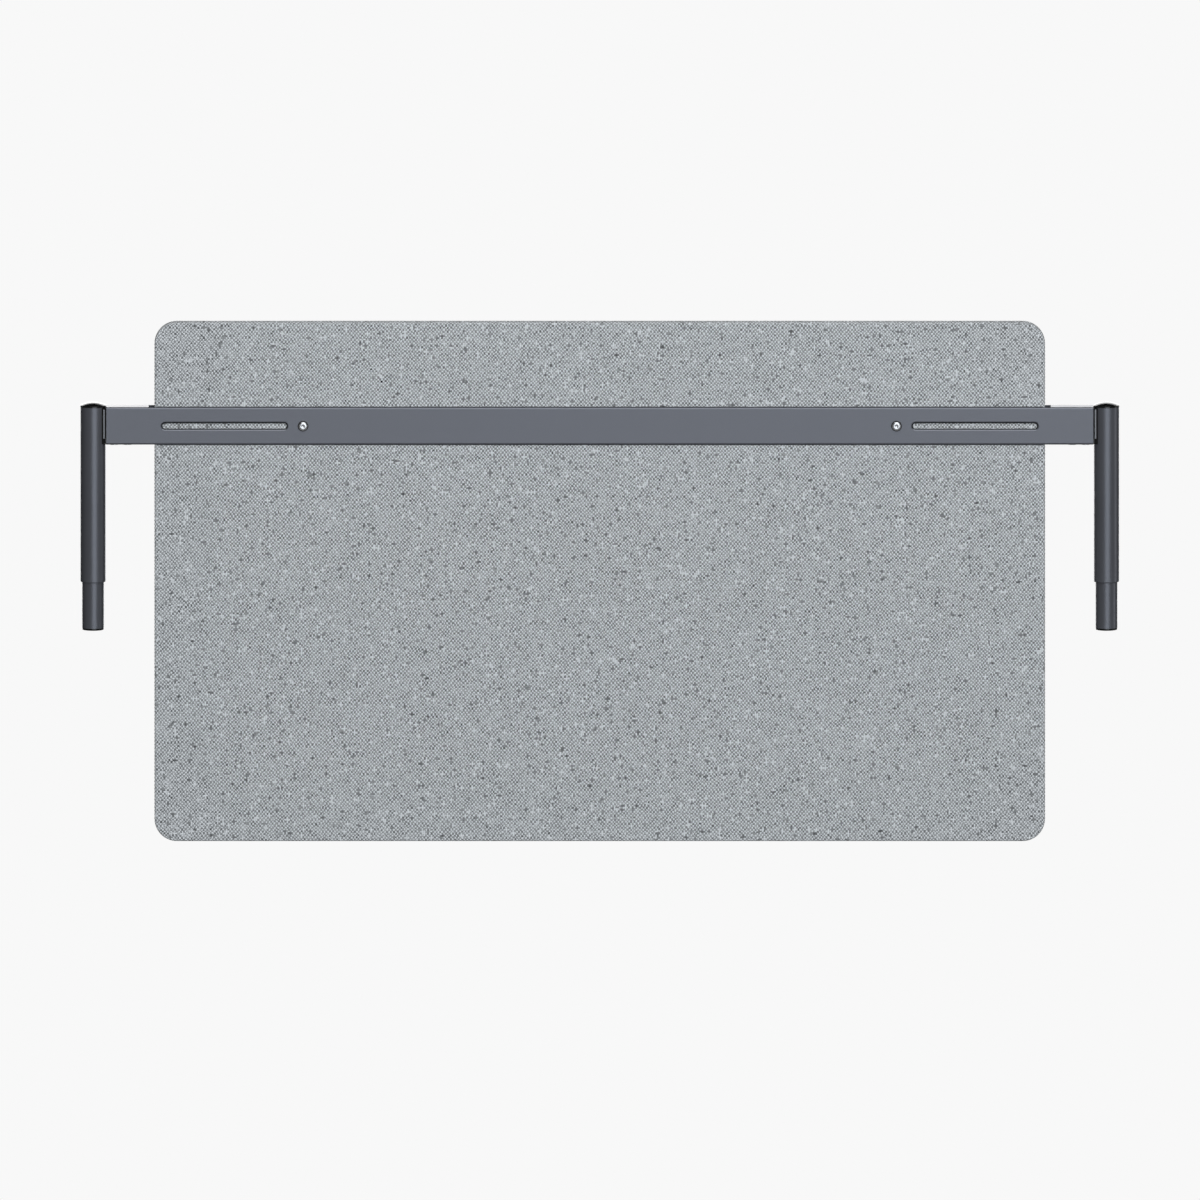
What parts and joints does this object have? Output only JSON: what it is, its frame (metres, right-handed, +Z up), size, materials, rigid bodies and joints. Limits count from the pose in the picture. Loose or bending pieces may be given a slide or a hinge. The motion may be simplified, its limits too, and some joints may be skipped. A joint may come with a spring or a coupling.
{
  "type": "desk privacy panel",
  "caption": "Fabric-wrapped screen with rounded corners, held in a slotted metal crossbar between telescoping round posts that plug into sockets at the ends of a desk.",
  "frame": {"origin": "midway between the two posts, at the centre of the screen, level with the lower ends of the outer post tubes", "axes": "+X along the crossbar, to the right seen from the side with the accessory slots; +Y from that side to the back; +Z up"},
  "size_m": [1.401, 0.0405, 0.706],
  "materials": {
    "screen_fabric": "matte",
    "padding": "matte",
    "core_board": "matte",
    "graphite_paint": "satin",
    "cast_bracket": "satin",
    "black_gloss_plastic": "gloss",
    "black_nylon": "matte",
    "bright_steel": "satin",
    "black_oxide_steel": "satin"
  },
  "bodies": {
    "screen_frame": {"front_fabric_cover": "screen_fabric", "rear_fabric_cover": "screen_fabric", "front_pad": "padding", "rear_pad": "padding", "core_board": "core_board", "crossbar_tube": "graphite_paint", "left_screen_insert": "bright_steel", "right_screen_insert": "bright_steel", "left_screw_washer": "black_nylon", "right_screw_washer": "black_nylon", "left_screen_screw": "bright_steel", "right_screen_screw": "bright_steel", "left_post_tube": "graphite_paint", "right_post_tube": "graphite_paint", "left_post_cap": "black_gloss_plastic", "right_post_cap": "black_gloss_plastic", "left_post_bracket": "cast_bracket", "right_post_bracket": "cast_bracket", "left_bar_outer_nut": "bright_steel", "left_bar_inner_nut": "bright_steel", "right_bar_outer_nut": "bright_steel", "right_bar_inner_nut": "bright_steel", "left_bar_outer_set_screw": "black_oxide_steel", "left_bar_inner_set_screw": "black_oxide_steel", "right_bar_outer_set_screw": "black_oxide_steel", "right_bar_inner_set_screw": "black_oxide_steel", "left_lock_boss": "graphite_paint", "right_lock_boss": "graphite_paint", "left_lock_screw": "black_oxide_steel", "right_lock_screw": "black_oxide_steel"},
    "left_leg": {"left_lower_tube": "graphite_paint", "left_tube_glide": "black_nylon", "left_foot_plug": "black_nylon"},
    "right_leg": {"right_lower_tube": "graphite_paint", "right_tube_glide": "black_nylon", "right_foot_plug": "black_nylon"}
  },
  "joints": [
    {"name": "left_height", "type": "slide", "parent": "screen_frame", "child": "left_leg", "axis": [0, 0, 1], "range_m": [-0.04, 0.06]},
    {"name": "right_height", "type": "slide", "parent": "screen_frame", "child": "right_leg", "axis": [0, 0, 1], "range_m": [-0.04, 0.06]}
  ]
}
